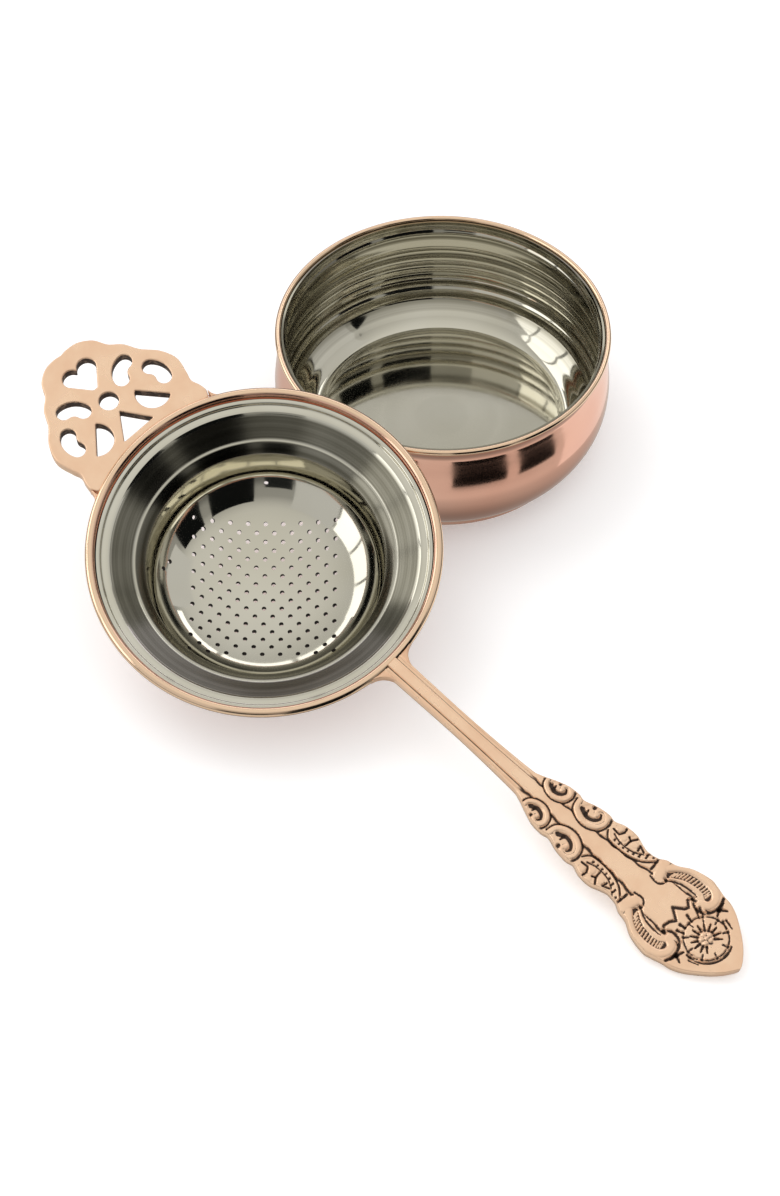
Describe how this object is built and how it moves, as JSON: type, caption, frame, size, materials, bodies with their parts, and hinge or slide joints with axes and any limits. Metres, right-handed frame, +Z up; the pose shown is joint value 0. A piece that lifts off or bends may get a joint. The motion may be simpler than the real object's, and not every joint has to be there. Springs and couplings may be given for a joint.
{
  "type": "tea strainer with drip bowl",
  "caption": "Long-handled tea strainer with a pierced lug, leaning on its round drip bowl; copper outside, bright steel inside.",
  "frame": {"origin": "centre of the drip bowl's foot, on the surface it stands on", "axes": "+Z up along the drip bowl's axis; -Y is the front, towards which the strainer's rim tilts"},
  "size_m": [0.1266, 0.1647, 0.0354],
  "materials": {
    "polished_copper": "polished copper, lightly toned",
    "polished_steel": "polished, fine turning lines",
    "cast_copper": "satin, cast, dark patina in the recesses",
    "braze_copper": "satin, hand finished"
  },
  "bodies": {
    "drip_bowl": {"bowl_shell": "polished_copper", "bowl_liner": "polished_steel"},
    "strainer": {"strainer_shell": "polished_copper", "strainer_liner": "polished_steel", "handle": "cast_copper", "handle_braze": "braze_copper", "lug": "cast_copper", "lug_braze": "braze_copper"}
  },
  "joints": [
    {"name": "strainer_lift", "type": "slide", "parent": "drip_bowl", "child": "strainer", "axis": [0, 0, 1], "range_m": [0, 0.08]}
  ]
}
